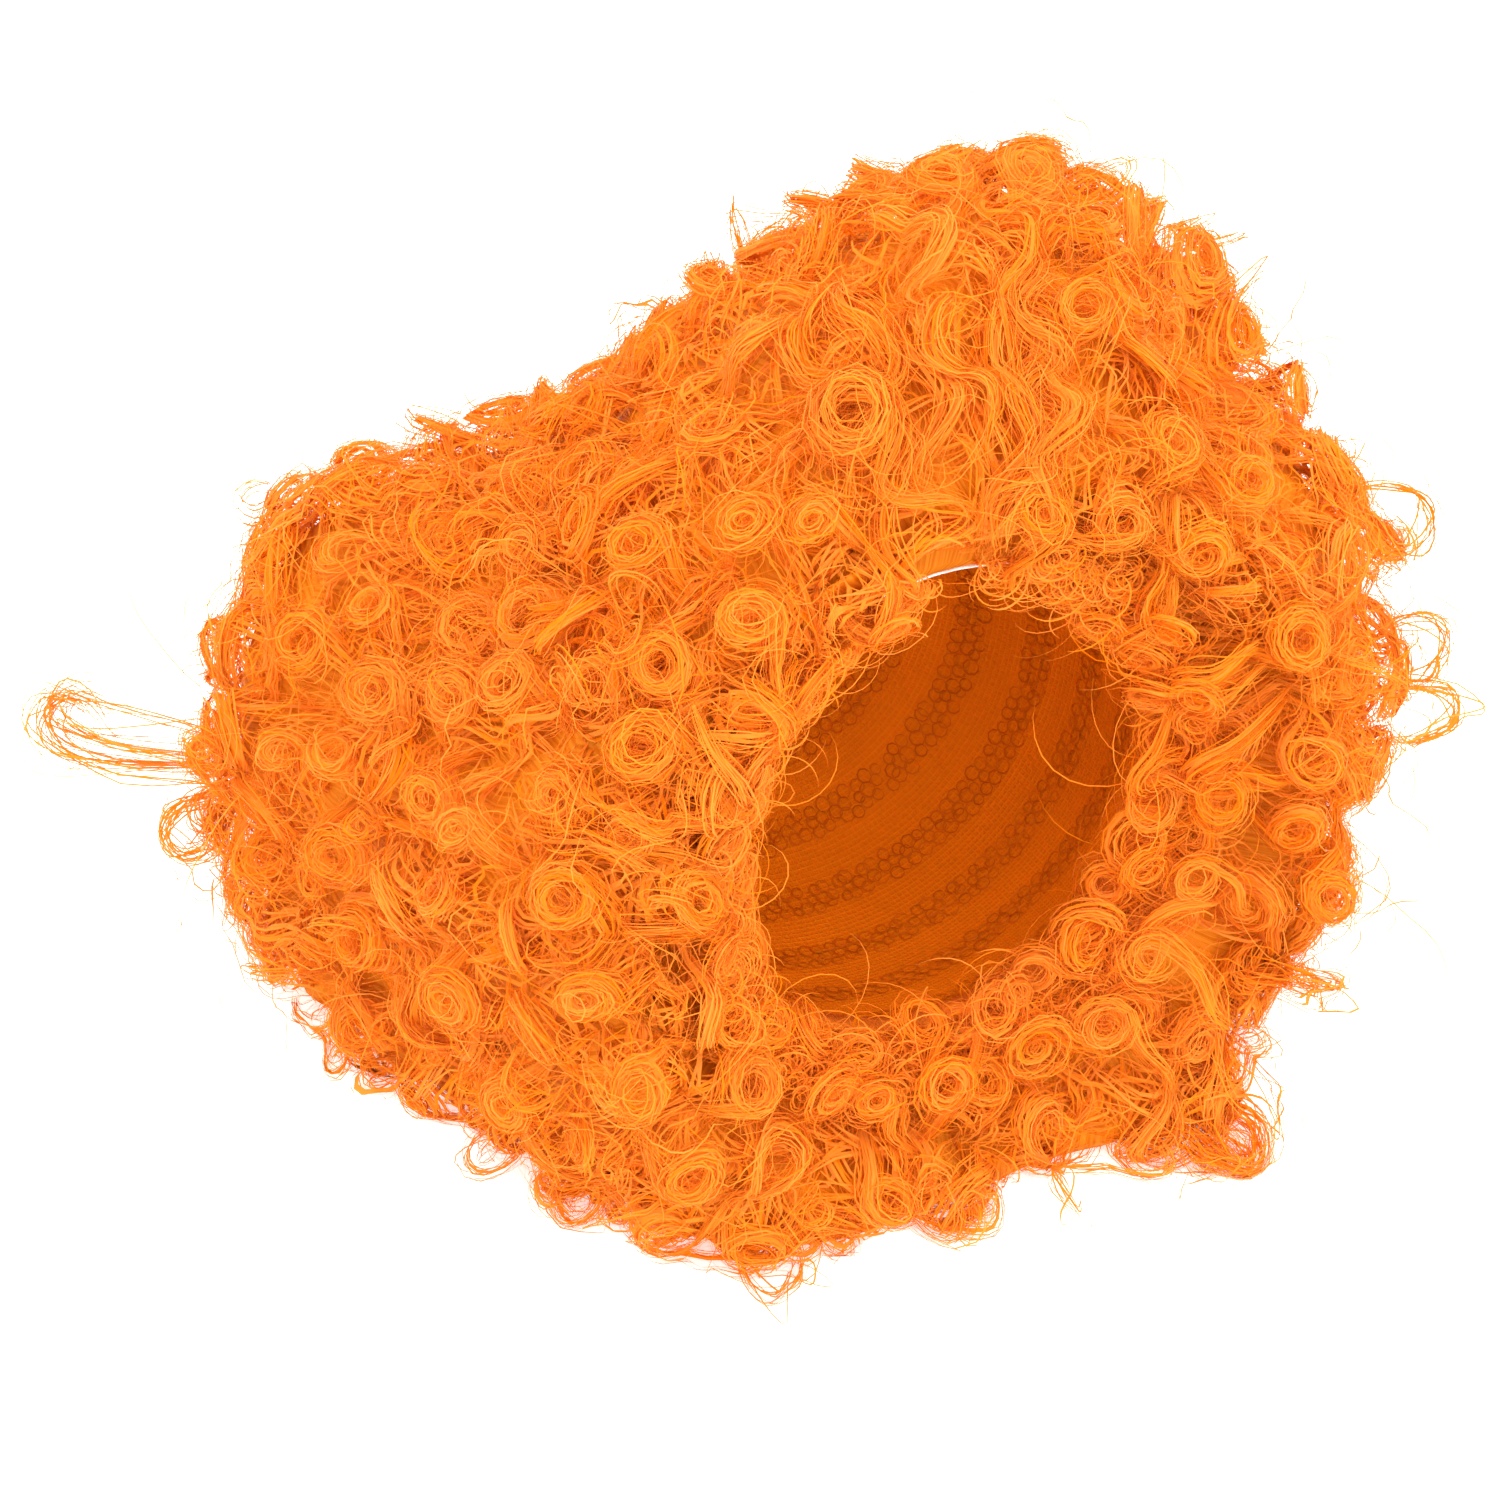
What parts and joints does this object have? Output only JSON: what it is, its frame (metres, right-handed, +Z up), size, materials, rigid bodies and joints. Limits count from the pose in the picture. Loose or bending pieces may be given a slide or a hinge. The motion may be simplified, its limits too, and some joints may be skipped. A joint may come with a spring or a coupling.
{
  "type": "curly cosplay wig",
  "caption": "Curly afro-style party wig lying on its back, a hollow net cap with an elastic rim and rows of curled locks around an open head hollow.",
  "frame": {"origin": "on the floor, under the middle of the wig's box as it lies", "axes": "+X to the wearer's left, which is the right of the front view; -Y out of the opening, which looks up by 10 degrees; +Z up"},
  "size_m": [0.3768, 0.2958, 0.2802],
  "materials": {
    "hair": "curled synthetic fibre, satin",
    "net": "knitted net with sewn weft tracks, matte",
    "elastic": "woven elastic tape, matte"
  },
  "bodies": {
    "root": {"cap": "net", "rim_band": "elastic", "weft_1_rim": "hair", "weft_2": "hair", "weft_3": "hair", "weft_4": "hair", "weft_5": "hair", "weft_6": "hair", "weft_7_crown": "hair"}
  },
  "joints": []
}
